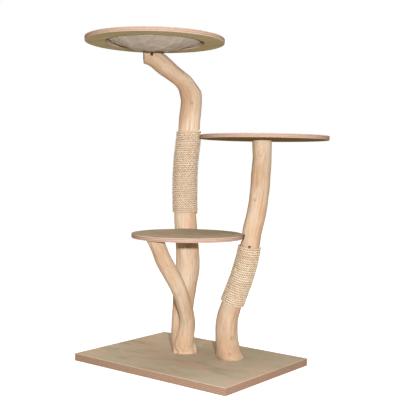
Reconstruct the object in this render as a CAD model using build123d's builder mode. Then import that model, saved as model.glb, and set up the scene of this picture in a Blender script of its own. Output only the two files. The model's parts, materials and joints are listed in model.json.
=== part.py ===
"""Cat tree of natural branches, plywood platforms, sisal rope and a canvas hammock.

Millimetres, +Z up. The origin is the centre of the base board's underside, +X runs along the
board's long side and +Y along its short side.
"""
import os
from build123d import *

# ---- driving dimensions -------------------------------------------------------------------

BASE_LENGTH = 700.0
BASE_DEPTH = 510.0
BASE_THICKNESS = 27.0
BASE_CORNER = 2.0

PLY = 15.0                       # thickness of the three round plywood pieces
PLY_EDGE = 1.5                   # rounding of their edges

LOWER_CENTRE = (48.0, -87.0)
LOWER_RADIUS = 198.5
LOWER_UNDERSIDE = 477.0

MIDDLE_CENTRE = (196.0, 173.0)
MIDDLE_RADIUS = 237.5
MIDDLE_UNDERSIDE = 832.0

RING_CENTRE = (-22.0, -192.0)
RING_RADIUS = 241.5
RING_HOLE_RADIUS = 171.5
RING_UNDERSIDE = 1155.0

CLOTH = 1.5                      # canvas thickness
CLOTH_GAP = 0.5                  # air between the canvas and the ring
CLOTH_SAG = 40.0                 # depth of the hammock below the ring's top
HEM_WIDTH = 18.0
STAPLE_COUNT = 28
STAPLE_WIRE = 1.2
STAPLE_CROWN = 11.0
STAPLE_LEG = 9.0

ROPE = 8.0                       # sisal rope diameter
ROPE_GAP = 0.3                   # air between the rope sleeve and the wood

FIT = 0.3                        # clearance round a screw or a let-in rim
SAW = 300.0                      # size of the block that a straight saw cut takes away
ENTRY = 60.0                     # length of the wider hole that lets a screw's head in

# The branches, as (x, y, z, radius) from the foot up. Each radius is square to the branch.
STEM = [
    (-60, 40, BASE_THICKNESS, 48.0),
    (-71, 42, 66, 43.5),
    (-80, 46, 118, 41.5),
    (-88, 59, 195, 40.5),
    (-91, 72, 262, 43.5),
    (-89, 84, 335, 45.5),
    (-96, 88, 430, 43.5),
    (-102, 85, 512, 43.5),
    (-98, 74, 600, 41.5),
    (-90, 64, 680, 41.0),
    (-77, 53, 755, 41.0),
    (-61, 46, 835, 39.5),
    (-54, 45, 915, 40.0),
    (-49, 46, 970, 39.5),
    (-53, 42.5, 1008, 40.5),
    (-73, 27, 1045, 32.0),
    (-105, 2, 1077, 31.5),
    (-138, -24, 1110, 34.5),
    (-168, -47, 1138, 36.5),
    (-206, -76, 1169, 38.5),
]
FRONT_BRANCH = [
    (-54, 38, BASE_THICKNESS + 6, 38.0),
    (-40, 23, 118, 31.5),
    (-20, -3, 182, 28.5),
    (-6, -39, 235, 28.0),
    (4, -79, 288, 28.0),
    (8, -122, 340, 29.0),
    (13, -174, 402, 28.5),
    (24, -228, 470, 28.5),
    (28, -248, 496, 28.5),
]
RIGHT_POST = [
    (131, 76, BASE_THICKNESS, 46.5),
    (124, 62, 76, 42.5),
    (123, 55, 122, 41.0),
    (128, 51, 168, 39.5),
    (144, 51, 222, 37.5),
    (179, 58, 315, 36.8),
    (199, 61, 378, 35.8),
    (213, 62, 436, 34.8),
    (221, 65, 490, 34.6),
    (226, 84, 563, 34.6),
    (222, 106, 628, 34.8),
    (208, 137, 706, 35.2),
    (201, 153, 762, 35.3),
    (190, 167, MIDDLE_UNDERSIDE + 8, 35.6),
]

MAIN_WRAP_LOW, MAIN_WRAP_HIGH = 548.0, 864.0      # heights where the trunk's rope starts and ends
RIGHT_WRAP_LOW = (146, 51, 236)                   # middle of each end of the right rope
RIGHT_WRAP_HIGH = (216, 62, 450)
RIGHT_WRAP_LOW_RUN = (0.33, 0.04, 0.94)           # how the branch runs at each end of that rope
RIGHT_WRAP_HIGH_RUN = (0.24, 0.05, 0.97)
SIDEWAYS = (0.79, 0.61, 0)
ROPE_ENDS = [                    # middle of the branch, its radius, and the side that is stapled
    ((-58, 45, MAIN_WRAP_HIGH - ROPE / 2), 39.7, SIDEWAYS),
    ((-99, 79, MAIN_WRAP_LOW + ROPE / 2), 42.4, SIDEWAYS),
    ((215, 62, 446), 34.8, (0.77, 0.6, -0.2)),
    ((150, 52, 240), 37.4, (-0.75, -0.6, 0.26)),
]

POST_TOP = (191.0, 166.0)        # middle of the right branch's sawn top
ARM_TOP = (-176.0, -52.0)        # middle of the sawn top of the trunk's arm
BRANCH_TOP = (25.0, -232.0)      # middle of the front branch's sawn top
ARM_TRIM = 20.0                  # how far the arm runs past ARM_TOP before its upright saw cut
ARM_RUN = (-0.79, -0.61, 0)      # level direction that the arm leans in
ARM_CUT_OUTWARD = (-0.715, -0.699, 0)             # the upright saw cut is a little askew
KNEE_CUT = (-35.5, 56.0, 1034.7)                  # middle of the sawn flat outside the knee
KNEE_OUTWARD = (0.712, 0.4, 0.589)
KNEE_FLAT = 80.0                 # size of the block that the knee's flat takes away
NOTCH = 6.5                      # depth past the low platform's rim of the notch in the right branch
NOTCH_AIR = 1.5                  # gap between the notch and the platform's top
NOTCH_RAMP = 17.0                # how far below the platform the notch's ramp runs
NOTCH_BLOCK = 60.0               # how far within the rim the notch's cut reaches

STEM_AT_LOWER = (-102.0, 86.0)   # middle of the stem where the low platform is let into it
POST_AT_LOWER = (221.0, 65.0)    # middle of the right branch beside the low platform
STEM_AT_MIDDLE = (-61.0, 46.0)   # middle of the stem beside the middle platform
ANCHOR_MOUTH = (234.0, 33.0, 448.0)               # hole for the end of the right rope
ANCHOR_OUTWARD = (0.6, -0.79, 0.1)

LAG_SHANK, LAG_LENGTH, LAG_HEX, LAG_HEAD = 4.0, 85.0, 13.0, 5.3
WASHER_RADIUS, WASHER_HOLE, WASHER = 10.5, 4.2, 1.6
FOOT_COUNTERBORE = 11.5
FOOT_RECESS = 9.0
TRUNK_BOLT_CIRCLE, POST_BOLT_CIRCLE, SHELF_SCREW_CIRCLE = 27.0, 25.0, 20.0
SCREW, SCREW_HEAD = 2.5, 5.0     # countersunk wood screw: radius of its shank and of its head
HEAD_RIM = 0.4                   # straight rim above a screw head's cone
CROSS_DEPTH = 1.8                # depth of the cross recess in a screw head
POCKET_SHANK, POCKET_HEAD = 2.0, 4.0
ANCHOR_DEPTH = 22.0              # depth of the hole for the rope's end
BRANCH_SCREW, ARM_SCREW, SHELF_SCREW = 60.0, 50.0, 60.0
STEM_EDGE_SCREW, STEM_EDGE_REACH = 110.0, 72.0    # length, and its head's distance past the rim
POST_EDGE_SCREW, POST_EDGE_REACH = 90.0, 64.0
TRUNK_EDGE_SCREW, TRUNK_EDGE_REACH = 110.0, 74.0
POCKET_MOUTH = (-141.0, -77.0, 1135.0)            # oblique hole in the front of the trunk's arm
POCKET_AIM = (-160.0, -54.0, 1160.0)              # where its screw's tip ends, in the ring
POCKET_DEPTH = 27.0
POCKET_LENGTH = 26.0


# ---- helpers ------------------------------------------------------------------------------

def station_planes(stations):
    """A plane across the branch at each station, square to its run."""
    points = [Vector(x, y, z) for x, y, z, _ in stations]
    planes = []
    for index, point in enumerate(points):
        before = points[max(index - 1, 0)]
        after = points[min(index + 1, len(points) - 1)]
        run = (after - before).normalized()
        if index == 0:
            run = Vector(0, 0, 1)
        across = Vector(0, 1, 0).cross(run).normalized()
        planes.append(Plane(origin=point, x_dir=across, z_dir=run))
    return planes


def limb(stations, extra=0.0, mode=Mode.ADD):
    """Loft a round branch through its stations, made thicker by extra all round."""
    sections = []
    for plane, (_, _, _, radius) in zip(station_planes(stations), stations):
        with BuildSketch(plane) as section:
            Circle(radius + extra)
        sections.append(section.sketch)
    loft(sections=sections, mode=mode)


def disc(centre, radius, underside, thickness=PLY, mode=Mode.ADD):
    """A round plate lying level."""
    with BuildSketch(Plane.XY.offset(underside)) as outline:
        with Locations(centre):
            Circle(radius)
    extrude(outline.sketch, amount=thickness, mode=mode)


def upright_plane(centre, height):
    """A plane for the profile of a round piece: local X outward, local Y up."""
    return Plane(origin=(*centre, height), x_dir=(1, 0, 0), z_dir=(0, -1, 0))


def wood_screw(head_plane, length, shank=SCREW, head=SCREW_HEAD):
    """A countersunk wood screw whose head's top lies on the plane, driven against its normal."""
    cone_end = head - shank
    tip_start = length - 2.4 * shank
    side = Plane(origin=head_plane.origin, x_dir=head_plane.x_dir, z_dir=-head_plane.y_dir)
    with BuildSketch(side) as profile:
        with BuildLine():
            Polyline((0, 0), (head, 0), (head, -HEAD_RIM), (shank, -HEAD_RIM - cone_end), (shank, -tip_start),
                     (HEAD_RIM, -length), (0, -length), (0, 0))
        make_face()
    revolve(profile.sketch, axis=Axis(head_plane.origin, head_plane.z_dir))
    with BuildSketch(head_plane) as cross:
        Rectangle(1.1 * head, 0.22 * head)
        Rectangle(0.22 * head, 1.1 * head)
    extrude(cross.sketch, amount=-CROSS_DEPTH, mode=Mode.SUBTRACT)


def drill(head_plane, length, radius=SCREW + FIT):
    """A round hole against the plane's normal."""
    with BuildSketch(head_plane) as mouth:
        Circle(radius)
    extrude(mouth.sketch, amount=-length, mode=Mode.SUBTRACT)


def countersink(spots, top):
    """Countersunk screw holes down through a platform."""
    with Locations(*[(x, y, top) for x, y in spots]):
        CounterSinkHole(SCREW + FIT, SCREW_HEAD + 3 * FIT, depth=2 * PLY, counter_sink_angle=90)


def lag_screw(spot):
    """A hexagon-headed lag screw, driven up from under the base board."""
    seat = FOOT_RECESS - WASHER
    with BuildSketch(Plane.XY.offset(seat - LAG_HEAD)) as head:
        with Locations(spot):
            RegularPolygon(LAG_HEX / 2, 6, major_radius=False)
    extrude(head.sketch, amount=LAG_HEAD)
    with BuildSketch(Plane.XY.offset(seat)) as shank:
        with Locations(spot):
            Circle(LAG_SHANK)
    extrude(shank.sketch, amount=LAG_LENGTH - 3 * LAG_SHANK)
    with Locations((*spot, seat + LAG_LENGTH - 1.5 * LAG_SHANK)):
        Cone(LAG_SHANK, 0.6, 3 * LAG_SHANK)


def staple(leg=STAPLE_LEG):
    """A wire staple: its crown along local Y, its legs down."""
    Box(STAPLE_WIRE, STAPLE_CROWN, STAPLE_WIRE)
    leg_shift = (STAPLE_CROWN - STAPLE_WIRE) / 2
    with Locations((0, leg_shift, -leg / 2), (0, -leg_shift, -leg / 2)):
        Box(STAPLE_WIRE, STAPLE_WIRE, leg)


def bowl_arc(edge, low, high):
    """The three points of a bowl's profile, from its lowest point on the axis to its edge."""
    depth = high - low
    sphere = (edge ** 2 + depth ** 2) / (2 * depth)
    half_way = edge / 2
    return (0, low), (half_way, low + sphere - (sphere ** 2 - half_way ** 2) ** 0.5), (edge, high)


def rope_sleeve(stations):
    """The space that one layer of rope takes round a branch, along its whole run."""
    limb(stations, extra=ROPE_GAP + ROPE)
    limb(stations, extra=ROPE_GAP, mode=Mode.SUBTRACT)


def ring_points(centre, radius, count, turn=0.0):
    """Points evenly spaced round a centre."""
    locations = PolarLocations(radius, count, start_angle=turn).local_locations
    return [(centre[0] + spot.position.X, centre[1] + spot.position.Y) for spot in locations]


def edge_plane(centre, beyond, reach, height):
    """An upright plane that stands reach away from a platform's centre, on a post's side, facing out."""
    outward = (Vector(*beyond) - Vector(*centre)).normalized()
    spot = Vector(*centre) + outward * reach
    return Plane(origin=(spot.X, spot.Y, height), z_dir=(outward.X, outward.Y, 0))


def saw_off(plane, size=SAW):
    """Cut away what lies on the outward side of a plane."""
    with BuildSketch(plane) as cut:
        Rectangle(size, size)
    extrude(cut.sketch, amount=size, mode=Mode.SUBTRACT)


def screw_way_in(plane):
    """The wider hole that a screw's head and driver go in by."""
    drill(plane.offset(ENTRY), ENTRY + SCREW_HEAD, SCREW_HEAD + FIT)


def finish(piece, name):
    """Name a finished piece and write it to parts/."""
    piece.part.label = name
    export_step(piece.part, f"parts/{name}.step")


os.makedirs("parts", exist_ok=True)

# ---- places of the fasteners --------------------------------------------------------------

TRUNK_FOOT = (STEM[0][0], STEM[0][1])
POST_FOOT = (RIGHT_POST[0][0], RIGHT_POST[0][1])
trunk_bolts = ring_points(TRUNK_FOOT, TRUNK_BOLT_CIRCLE, 3, turn=30)
post_bolts = ring_points(POST_FOOT, POST_BOLT_CIRCLE, 3, turn=75)
shelf_screws = ring_points(POST_TOP, SHELF_SCREW_CIRCLE, 3, turn=20)
arm_screws = [(ARM_TOP[0] - 17, ARM_TOP[1] - 11), (ARM_TOP[0] + 26, ARM_TOP[1] + 18)]

lower_top = LOWER_UNDERSIDE + PLY
lower_middle = LOWER_UNDERSIDE + PLY / 2
middle_top = MIDDLE_UNDERSIDE + PLY
middle_middle = MIDDLE_UNDERSIDE + PLY / 2
ring_top = RING_UNDERSIDE + PLY


stem_edge = edge_plane(LOWER_CENTRE, STEM_AT_LOWER, LOWER_RADIUS + STEM_EDGE_REACH, lower_middle)
post_edge = edge_plane(LOWER_CENTRE, POST_AT_LOWER, LOWER_RADIUS + POST_EDGE_REACH, lower_middle)
trunk_edge = edge_plane(MIDDLE_CENTRE, STEM_AT_MIDDLE, MIDDLE_RADIUS + TRUNK_EDGE_REACH, middle_middle)
pocket_run = Vector(*POCKET_MOUTH) - Vector(*POCKET_AIM)
pocket_head = Plane(origin=POCKET_AIM, z_dir=pocket_run.normalized()).offset(POCKET_DEPTH)
branch_head = Plane(origin=(*BRANCH_TOP, lower_top))
arm_heads = [Plane(origin=(*spot, ring_top)) for spot in arm_screws]
shelf_heads = [Plane(origin=(*spot, middle_top)) for spot in shelf_screws]

# ---- base board ---------------------------------------------------------------------------

with BuildPart() as base_board:
    with BuildSketch(Plane.XY):
        Rectangle(BASE_LENGTH, BASE_DEPTH)
    extrude(amount=BASE_THICKNESS)
    fillet(base_board.edges().filter_by(Axis.Z), BASE_CORNER)
    chamfer(base_board.faces().sort_by(Axis.Z)[-1].edges(), 0.8)
    with BuildSketch(Plane.XY):
        with Locations(*trunk_bolts, *post_bolts):
            Circle(FOOT_COUNTERBORE)
    extrude(amount=FOOT_RECESS, mode=Mode.SUBTRACT)
    with BuildSketch(Plane.XY):
        with Locations(*trunk_bolts, *post_bolts):
            Circle(LAG_SHANK + FIT)
    extrude(amount=BASE_THICKNESS, mode=Mode.SUBTRACT)
finish(base_board, "base_board")

# ---- forked trunk: bent stem, leaning arm and front branch, one natural piece -------------

with BuildPart() as forked_trunk:
    limb(STEM)
    limb(FRONT_BRANCH)
    # sawn ends: the arm under the ring, the front branch under the low platform
    saw_off(Plane(origin=(*ARM_TOP, RING_UNDERSIDE)))
    disc(BRANCH_TOP, 2 * FRONT_BRANCH[-1][3], LOWER_UNDERSIDE, 2 * FRONT_BRANCH[-1][3], mode=Mode.SUBTRACT)
    saw_off(Plane(origin=Vector(*ARM_TOP, RING_UNDERSIDE) + Vector(*ARM_RUN) * ARM_TRIM,
                  z_dir=ARM_CUT_OUTWARD))
    # sawn flat outside the knee
    saw_off(Plane(origin=KNEE_CUT, z_dir=KNEE_OUTWARD), size=KNEE_FLAT)
    # housing for the low platform's far rim
    disc(LOWER_CENTRE, LOWER_RADIUS + FIT, LOWER_UNDERSIDE, PLY + FIT, mode=Mode.SUBTRACT)
    # pilot holes
    drill(pocket_head, POCKET_LENGTH)
    drill(branch_head, BRANCH_SCREW)
    for plane in arm_heads:
        drill(plane, ARM_SCREW)
    drill(stem_edge, STEM_EDGE_SCREW)
    drill(trunk_edge, TRUNK_EDGE_SCREW)
    for plane in (pocket_head, stem_edge, trunk_edge):
        screw_way_in(plane)
    for spot in trunk_bolts:
        drill(Plane(origin=(*spot, LAG_LENGTH + FOOT_RECESS)), LAG_LENGTH, LAG_SHANK + FIT)
finish(forked_trunk, "forked_trunk")

# ---- right post ---------------------------------------------------------------------------

with BuildPart() as right_post:
    limb(RIGHT_POST)
    saw_off(Plane(origin=(*POST_TOP, MIDDLE_UNDERSIDE)))
    # saw notch for the low platform's rim: level above, a ramp below
    rim, top, foot = LOWER_RADIUS, PLY / 2 + NOTCH_AIR, -PLY / 2 - NOTCH_RAMP
    within = rim - NOTCH_BLOCK
    with BuildSketch(upright_plane(LOWER_CENTRE, lower_middle)):
        with BuildLine():
            Polyline((rim + NOTCH, top - 2 * NOTCH_AIR), (rim - NOTCH, top), (within, top),
                     (within, foot), (rim - NOTCH, foot), (rim + NOTCH / 2, -PLY / 2 - NOTCH_AIR / 2),
                     (rim + NOTCH, top - 2 * NOTCH_AIR))
        make_face()
    revolve(axis=Axis((*LOWER_CENTRE, 0), (0, 0, 1)), mode=Mode.SUBTRACT)
    drill(post_edge, POST_EDGE_SCREW)
    screw_way_in(post_edge)
    for plane in shelf_heads:
        drill(plane, SHELF_SCREW)
    for spot in post_bolts:
        drill(Plane(origin=(*spot, LAG_LENGTH + FOOT_RECESS)), LAG_LENGTH, LAG_SHANK + FIT)
    # the hole that the rope's upper end is tucked into
    drill(Plane(origin=ANCHOR_MOUTH, z_dir=ANCHOR_OUTWARD).offset(ROPE), ROPE + ANCHOR_DEPTH, ROPE / 2 + 0.5)
finish(right_post, "right_post")

# ---- platforms ----------------------------------------------------------------------------

with BuildPart() as lower_platform:
    disc(LOWER_CENTRE, LOWER_RADIUS, LOWER_UNDERSIDE)
    fillet(lower_platform.edges().filter_by(GeomType.CIRCLE), PLY_EDGE)
    countersink([BRANCH_TOP], lower_top)
    drill(stem_edge, STEM_EDGE_SCREW)
    drill(post_edge, POST_EDGE_SCREW)
finish(lower_platform, "lower_platform")

with BuildPart() as middle_platform:
    disc(MIDDLE_CENTRE, MIDDLE_RADIUS, MIDDLE_UNDERSIDE)
    fillet(middle_platform.edges().filter_by(GeomType.CIRCLE), PLY_EDGE)
    countersink(shelf_screws, middle_top)
    drill(trunk_edge, TRUNK_EDGE_SCREW)
finish(middle_platform, "middle_platform")

with BuildPart() as top_ring:
    disc(RING_CENTRE, RING_RADIUS, RING_UNDERSIDE)
    disc(RING_CENTRE, RING_HOLE_RADIUS, RING_UNDERSIDE, mode=Mode.SUBTRACT)
    fillet(top_ring.edges().filter_by(GeomType.CIRCLE), PLY_EDGE)
    countersink(arm_screws, ring_top)
    drill(pocket_head, POCKET_LENGTH)
finish(top_ring, "top_ring")

# ---- hammock ------------------------------------------------------------------------------

cloth_edge = RING_HOLE_RADIUS - CLOTH_GAP
cloth_bottom = ring_top - CLOTH_SAG
hem_underside = ring_top + ROPE_GAP
hem_top = hem_underside + CLOTH
hem_outside = RING_HOLE_RADIUS + HEM_WIDTH

with BuildPart() as hammock_cloth:
    with BuildSketch(upright_plane(RING_CENTRE, 0)):
        with BuildLine():
            ThreePointArc(*bowl_arc(cloth_edge, cloth_bottom, hem_underside))
            Polyline((cloth_edge, hem_underside), (hem_outside, hem_underside),
                     (hem_outside, hem_top), (cloth_edge - CLOTH, hem_top))
            ThreePointArc(*bowl_arc(cloth_edge - CLOTH, cloth_bottom + CLOTH, hem_top))
            Line((0, cloth_bottom + CLOTH), (0, cloth_bottom))
        make_face()
    revolve(axis=Axis((*RING_CENTRE, 0), (0, 0, 1)))
finish(hammock_cloth, "hammock_cloth")

with BuildPart() as hammock_staples:
    crown_height = hem_underside + CLOTH + STAPLE_WIRE / 2
    with Locations((*RING_CENTRE, crown_height)):
        with PolarLocations(RING_HOLE_RADIUS + 0.55 * HEM_WIDTH, STAPLE_COUNT, start_angle=5):
            staple()
finish(hammock_staples, "hammock_staples")

# ---- sisal rope, as the sleeve that its turns fill ----------------------------------------

with BuildPart() as main_rope_wrap:
    rope_sleeve(STEM)
    split(bisect_by=Plane.XY.offset(MAIN_WRAP_LOW), keep=Keep.TOP)
    split(bisect_by=Plane.XY.offset(MAIN_WRAP_HIGH), keep=Keep.BOTTOM)
    drill(trunk_edge, TRUNK_EDGE_SCREW)
finish(main_rope_wrap, "main_rope_wrap")

with BuildPart() as right_rope_wrap:
    rope_sleeve(RIGHT_POST)
    low_end = Vector(*RIGHT_WRAP_LOW)
    high_end = Vector(*RIGHT_WRAP_HIGH)
    split(bisect_by=Plane(origin=low_end, z_dir=RIGHT_WRAP_LOW_RUN), keep=Keep.TOP)
    split(bisect_by=Plane(origin=high_end, z_dir=RIGHT_WRAP_HIGH_RUN), keep=Keep.BOTTOM)
finish(right_rope_wrap, "right_rope_wrap")

with BuildPart() as rope_staples:
    for middle, radius, outward in ROPE_ENDS:
        side = Vector(*outward).normalized()
        crown = Vector(*middle) + side * (radius + ROPE_GAP + ROPE + STAPLE_WIRE / 2)
        with Locations(Plane(origin=crown, x_dir=Vector(0, 0, 1).cross(side), z_dir=side)):
            staple(leg=ROPE + 12)
finish(rope_staples, "rope_staples")

# ---- screws -------------------------------------------------------------------------------

with BuildPart() as trunk_foot_screws:
    for spot in trunk_bolts:
        lag_screw(spot)
finish(trunk_foot_screws, "trunk_foot_screws")

with BuildPart() as right_foot_screws:
    for spot in post_bolts:
        lag_screw(spot)
finish(right_foot_screws, "right_foot_screws")

with BuildPart() as foot_washers:
    with BuildSketch(Plane.XY.offset(FOOT_RECESS - WASHER)):
        with Locations(*trunk_bolts, *post_bolts):
            Circle(WASHER_RADIUS)
            Circle(WASHER_HOLE, mode=Mode.SUBTRACT)
    extrude(amount=WASHER)
finish(foot_washers, "foot_washers")

with BuildPart() as branch_screw:
    wood_screw(branch_head, BRANCH_SCREW)
finish(branch_screw, "branch_screw")

with BuildPart() as stem_edge_screw:
    wood_screw(stem_edge, STEM_EDGE_SCREW)
finish(stem_edge_screw, "stem_edge_screw")

with BuildPart() as post_edge_screw:
    wood_screw(post_edge, POST_EDGE_SCREW)
finish(post_edge_screw, "post_edge_screw")

with BuildPart() as trunk_edge_screw:
    wood_screw(trunk_edge, TRUNK_EDGE_SCREW)
finish(trunk_edge_screw, "trunk_edge_screw")

with BuildPart() as middle_platform_screws:
    for plane in shelf_heads:
        wood_screw(plane, SHELF_SCREW)
finish(middle_platform_screws, "middle_platform_screws")

with BuildPart() as ring_screws:
    for plane in arm_heads:
        wood_screw(plane, ARM_SCREW)
finish(ring_screws, "ring_screws")

with BuildPart() as pocket_screw:
    wood_screw(pocket_head, POCKET_LENGTH, POCKET_SHANK, POCKET_HEAD)
finish(pocket_screw, "pocket_screw")
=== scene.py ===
"""Looks of the cat tree: peeled branches, plywood, wound sisal and a canvas hammock."""
from __future__ import annotations

import itertools
import json
import logging
import math
import sys
from dataclasses import dataclass, field, replace
from enum import Enum
from typing import Any, Sequence

import bmesh
import bpy
import numpy as np
from mathutils import Matrix, Vector
from mathutils.bvhtree import BVHTree

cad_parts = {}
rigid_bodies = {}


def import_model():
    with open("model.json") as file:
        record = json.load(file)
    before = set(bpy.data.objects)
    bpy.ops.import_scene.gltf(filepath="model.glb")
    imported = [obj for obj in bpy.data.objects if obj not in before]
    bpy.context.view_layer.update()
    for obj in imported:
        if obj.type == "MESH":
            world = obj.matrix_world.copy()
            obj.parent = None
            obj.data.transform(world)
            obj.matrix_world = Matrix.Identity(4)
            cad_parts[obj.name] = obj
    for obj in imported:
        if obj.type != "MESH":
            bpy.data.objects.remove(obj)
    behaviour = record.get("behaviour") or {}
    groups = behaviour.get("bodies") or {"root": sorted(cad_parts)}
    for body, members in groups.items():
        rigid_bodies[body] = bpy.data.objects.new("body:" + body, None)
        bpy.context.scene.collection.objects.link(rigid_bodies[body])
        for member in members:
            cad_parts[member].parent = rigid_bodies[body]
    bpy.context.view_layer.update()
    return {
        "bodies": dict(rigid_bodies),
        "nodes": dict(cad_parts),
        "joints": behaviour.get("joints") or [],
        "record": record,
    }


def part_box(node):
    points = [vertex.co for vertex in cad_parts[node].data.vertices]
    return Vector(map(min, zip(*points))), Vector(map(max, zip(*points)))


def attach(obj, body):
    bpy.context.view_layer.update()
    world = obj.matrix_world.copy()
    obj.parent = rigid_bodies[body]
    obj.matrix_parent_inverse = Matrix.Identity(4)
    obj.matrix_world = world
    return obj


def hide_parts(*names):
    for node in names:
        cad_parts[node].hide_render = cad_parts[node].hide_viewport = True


LOG = logging.getLogger("cat_tree")
BODY = "root"
MM = 0.001
GRAIN = "grain"
GROOVE = "groove"
# Marks where the wood is darkened: saw cuts as end grain made darker to stand for their shade, and bored hole
# walls as painted shade.
SAWN_AND_HOLE_SHADE = "sawn"

Colour = tuple[float, float, float]
Point = tuple[float, float, float]
Station = tuple[float, float, float, float]


def shade(red: int, green: int, blue: int) -> Colour:
    """A screen colour from 0 to 255 as the linear colour that shaders use."""
    def linear(level: int) -> float:
        """One channel of it."""
        value = level / 255
        return value / 12.92 if value <= 0.04045 else ((value + 0.055) / 1.055) ** 2.4
    return linear(red), linear(green), linear(blue)


# ---- shader building -------------------------------------------------------------------------


class Value:
    """A node's output. Arithmetic on it adds Math nodes."""

    def __init__(self, nodes: Nodes, socket: bpy.types.NodeSocket) -> None:
        """Wrap one output socket of a node tree."""
        self.nodes = nodes
        self.socket = socket

    def math(self, operation: str, *others: Any, clamp: bool = False) -> Value:
        """Apply a Math operation with this value as the first operand."""
        return self.nodes.add("ShaderNodeMath", {"operation": operation, "use_clamp": clamp},
                              {place: item for place, item in enumerate((self, *others))})

    def reflected(self, operation: str, other: float) -> Value:
        """Apply a Math operation with a plain number as the first operand."""
        return self.nodes.add("ShaderNodeMath", {"operation": operation}, {0: other, 1: self})

    def __add__(self, other: Any) -> Value:
        """Sum."""
        return self.math("ADD", other)

    def __radd__(self, other: float) -> Value:
        """Sum, reflected."""
        return self.reflected("ADD", other)

    def __sub__(self, other: Any) -> Value:
        """Difference."""
        return self.math("SUBTRACT", other)

    def __rsub__(self, other: float) -> Value:
        """Difference, reflected."""
        return self.reflected("SUBTRACT", other)

    def __mul__(self, other: Any) -> Value:
        """Product."""
        return self.math("MULTIPLY", other)

    def __rmul__(self, other: float) -> Value:
        """Product, reflected."""
        return self.reflected("MULTIPLY", other)

    def __truediv__(self, other: Any) -> Value:
        """Quotient."""
        return self.math("DIVIDE", other)

    def clamped(self) -> Value:
        """This value held between 0 and 1."""
        return self.math("ADD", 0.0, clamp=True)

    def step(self, low: float, high: float) -> Value:
        """A smooth step from 0 at low to 1 at high; low may be the greater."""
        return self.nodes.add("ShaderNodeMapRange", {"interpolation_type": "SMOOTHSTEP"},
                              {"Value": self, "From Min": low, "From Max": high})

    def scaled(self, by: Point) -> Value:
        """A vector value multiplied axis by axis."""
        return self.nodes.add("ShaderNodeVectorMath", {"operation": "MULTIPLY"}, {0: self, 1: by})

    def axis(self, name: str) -> Value:
        """One axis of a vector value."""
        return self.nodes.add("ShaderNodeSeparateXYZ", {}, {"Vector": self}, name)


class Nodes:
    """The node tree of one material."""

    def __init__(self, name: str) -> None:
        """Start an empty material of this name."""
        self.material = bpy.data.materials.new(name)
        self.material.use_nodes = True
        self.tree = self.material.node_tree
        self.tree.nodes.clear()

    def add(self, kind: str, settings: dict[str, Any], inputs: dict[Any, Any], output: Any = 0) -> Value:
        """Add a node.

        Args:
            kind: the node's type.
            settings: its properties, which are set first.
            inputs: a number, colour, vector or Value for each socket, by name or index.
            output: the name or index of the socket to return.

        Returns:
            The chosen output.
        """
        node = self.tree.nodes.new(kind)
        for key, setting in settings.items():
            setattr(node, key, setting)
        for key, item in inputs.items():
            socket = node.inputs[key]
            if isinstance(item, Value):
                self.tree.links.new(item.socket, socket)
            elif socket.type == "RGBA" and len(item) == 3:
                socket.default_value = (*item, 1.0)
            else:
                socket.default_value = item
        return Value(self, node.outputs[output])

    def mix(self, factor: Any, first: Any, second: Any, blend: str = "MIX") -> Value:
        """Blend two colours."""
        colour_sockets = {0: factor, 6: first, 7: second}
        return self.add("ShaderNodeMix", {"data_type": "RGBA", "blend_type": blend}, colour_sockets, 2)

    def noise(self, where: Value, scale: float, detail: float = 3.0, distortion: float = 0.0) -> Value:
        """Smooth noise from 0 to 1."""
        return self.add("ShaderNodeTexNoise", {},
                        {"Vector": where, "Scale": scale, "Detail": detail, "Distortion": distortion})

    def place(self) -> Value:
        """Where a point is on its object, in metres."""
        return self.add("ShaderNodeTexCoord", {}, {}, "Object")

    def facing(self) -> Value:
        """The surface's own normal."""
        return self.add("ShaderNodeNewGeometry", {}, {}, "Normal")

    def along(self) -> Value:
        """The place along and across a branch or strand that its mesh carries."""
        return self.add("ShaderNodeAttribute", {"attribute_name": GRAIN}, {}, "Vector")

    def carried(self, name: str) -> Value:
        """A number that the mesh carries on its vertices."""
        return self.add("ShaderNodeAttribute", {"attribute_name": name}, {}, "Fac")

    def tint(self, mask: Value, low: float, high: float, amount: float, under: Value, over: Colour) -> Value:
        """Lay a colour over another where a mask rises from low to high.

        Args:
            mask: the mask, such as a noise.
            low: the mask's value where the colour starts.
            high: the mask's value where it is strongest.
            amount: how strong it gets, from 0 to 1.
            under: the colour below.
            over: the colour laid over it.

        Returns:
            The blended colour.
        """
        return self.mix(mask.step(low, high) * amount, under, over)

    def bump(self, height: Value, distance: float, strength: float = 1.0) -> Value:
        """A normal tilted by a height."""
        return self.add("ShaderNodeBump", {},
                        {"Height": height, "Distance": distance, "Strength": strength})

    def surface(self, **sockets: Any) -> bpy.types.Material:
        """End the tree in a principled shader; socket names are given with underscores."""
        inputs = {name.replace("_", " "): item for name, item in sockets.items()}
        shader = self.add("ShaderNodeBsdfPrincipled", {}, inputs)
        self.add_output(shader)
        return self.material

    def add_output(self, shader: Value) -> None:
        """Link a shader to the material's output."""
        out = self.tree.nodes.new("ShaderNodeOutputMaterial")
        self.tree.links.new(shader.socket, out.inputs["Surface"])


# ---- finishes --------------------------------------------------------------------------------


@dataclass(frozen=True)
class Knot:
    """A knot on a branch: where it is, its radius and how far it swells or sinks, in millimetres."""

    place: Point
    radius: float
    swell: float
    darkness: float = 0.7


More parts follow.
